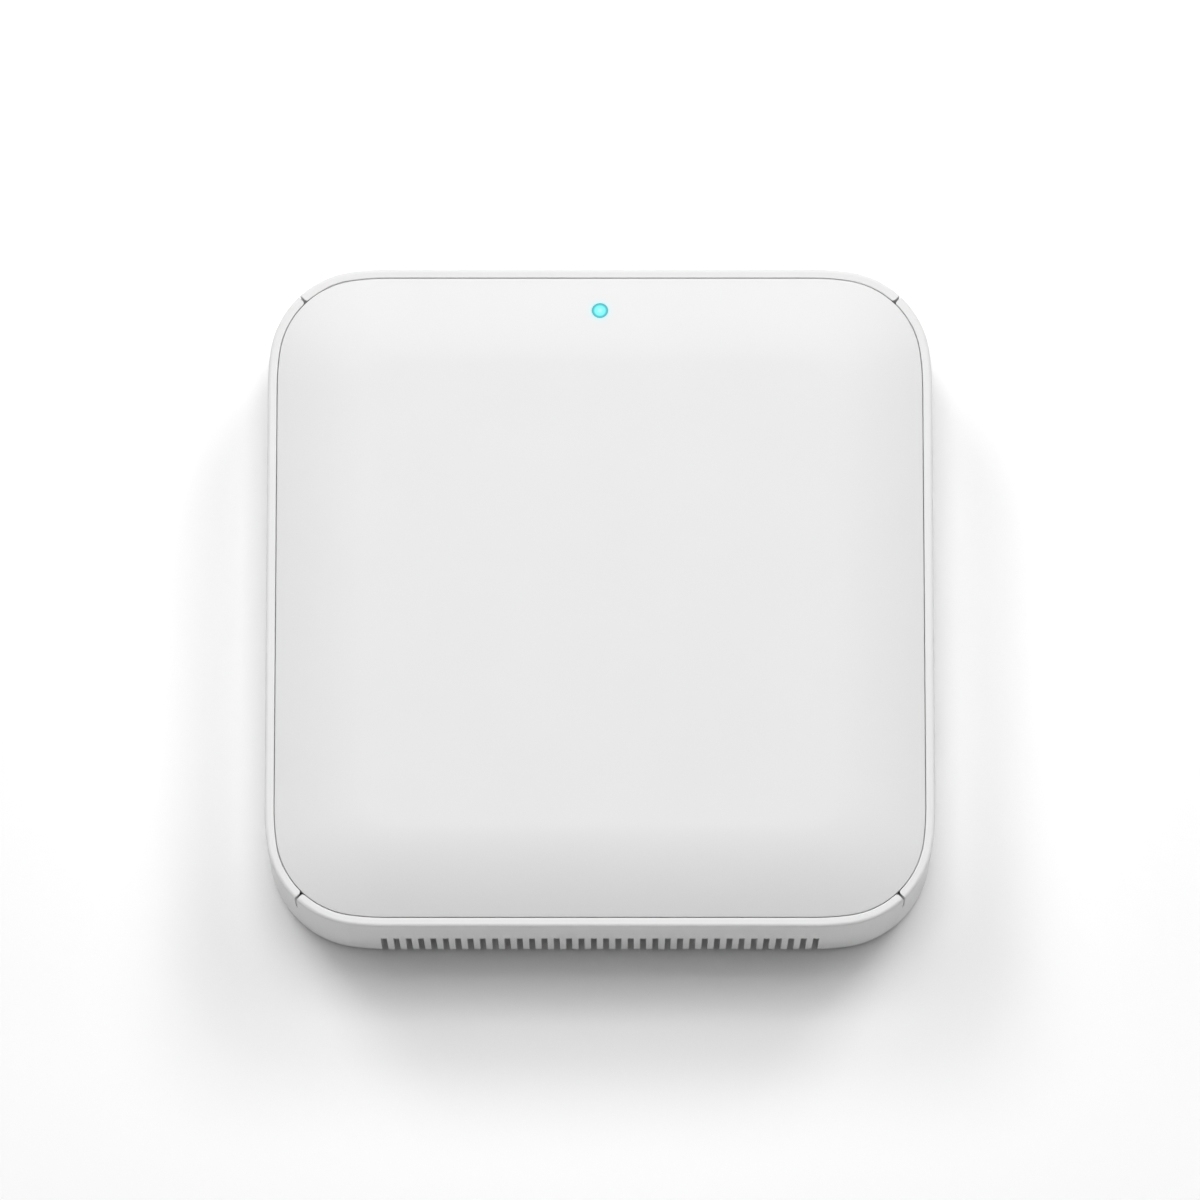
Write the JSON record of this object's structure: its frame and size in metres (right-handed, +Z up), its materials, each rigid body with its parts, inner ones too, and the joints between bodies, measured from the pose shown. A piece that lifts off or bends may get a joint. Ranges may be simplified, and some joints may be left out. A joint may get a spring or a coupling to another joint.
{
  "type": "smart hub",
  "caption": "Square white smart home hub with a pillowed cover, a corner-slit rim, a comb of front vents, a status light, a network socket and a power inlet.",
  "frame": {"origin": "under the middle of the hub, on the surface that its feet stand on", "axes": "+Z up out of the cover, +Y towards the back wall with the sockets, +X to the right seen from the front"},
  "size_m": [0.127, 0.127, 0.0358],
  "materials": {
    "shell_white": "fine matte texture",
    "cover_white": "fine matte texture",
    "base_white": "matte",
    "button_white": "smooth matte",
    "screw_steel": "zinc plated",
    "foot_rubber": "matte",
    "label_film": "blank satin film",
    "board_green": "solder mask",
    "light_window": "clear, tinted by the lamp",
    "lamp": "clear resin",
    "dark_rubber": "matte",
    "tin_plate": "tin plated",
    "stainless": "smooth",
    "black_plastic": "moulded",
    "gold_contact": "gold plated",
    "chip_black": "moulded resin",
    "switch_plunger": "smooth",
    "thermal_silicone": "soft",
    "sink_aluminium": "anodised",
    "ferrite": "pressed powder",
    "can_aluminium": "drawn can",
    "antenna_film": "board with copper inside",
    "lead_jacket": "smooth jacket"
  },
  "bodies": {
    "hub": {"housing": "shell_white", "top_cover": "cover_white", "base_plate": "base_white", "base_screws": "screw_steel", "rubber_feet": "foot_rubber", "rating_label": "label_film", "main_board": "board_green", "board_screws": "screw_steel", "light_pipe": "light_window", "status_led": "lamp", "light_shield": "dark_rubber", "ethernet_jack_shell": "tin_plate", "ethernet_jack_insert": "black_plastic", "ethernet_contacts": "gold_contact", "ethernet_transformer": "chip_black", "usb_c_shell": "stainless", "usb_c_tongue": "black_plastic", "pair_switch_body": "black_plastic", "reset_switch_body": "black_plastic", "processor": "chip_black", "thermal_pad": "thermal_silicone", "heat_spreader": "sink_aluminium", "memory_chips": "chip_black", "flash_chip": "chip_black", "wifi_shield": "tin_plate", "mesh_radio_board": "board_green", "mesh_radio_shield": "tin_plate", "crystal": "tin_plate", "power_inductors": "ferrite", "capacitors": "can_aluminium", "wifi_antenna_left": "antenna_film", "wifi_antenna_right": "antenna_film", "antenna_lead_left": "lead_jacket", "antenna_lead_right": "lead_jacket", "antenna_plugs": "gold_contact"},
    "pair_button": {"pair_button": "button_white", "pair_switch_plunger": "switch_plunger"},
    "reset_plunger": {"reset_switch_plunger": "switch_plunger"}
  },
  "joints": [
    {"name": "pair_press", "type": "slide", "parent": "hub", "child": "pair_button", "axis": [0, -1, 0], "range_m": [0, 0.00035], "stiffness_N_per_m": 2500, "springref_m": -0.0003},
    {"name": "reset_press", "type": "slide", "parent": "hub", "child": "reset_plunger", "axis": [0, -1, 0], "range_m": [0, 0.00025], "stiffness_N_per_m": 2500, "springref_m": -0.0003}
  ]
}
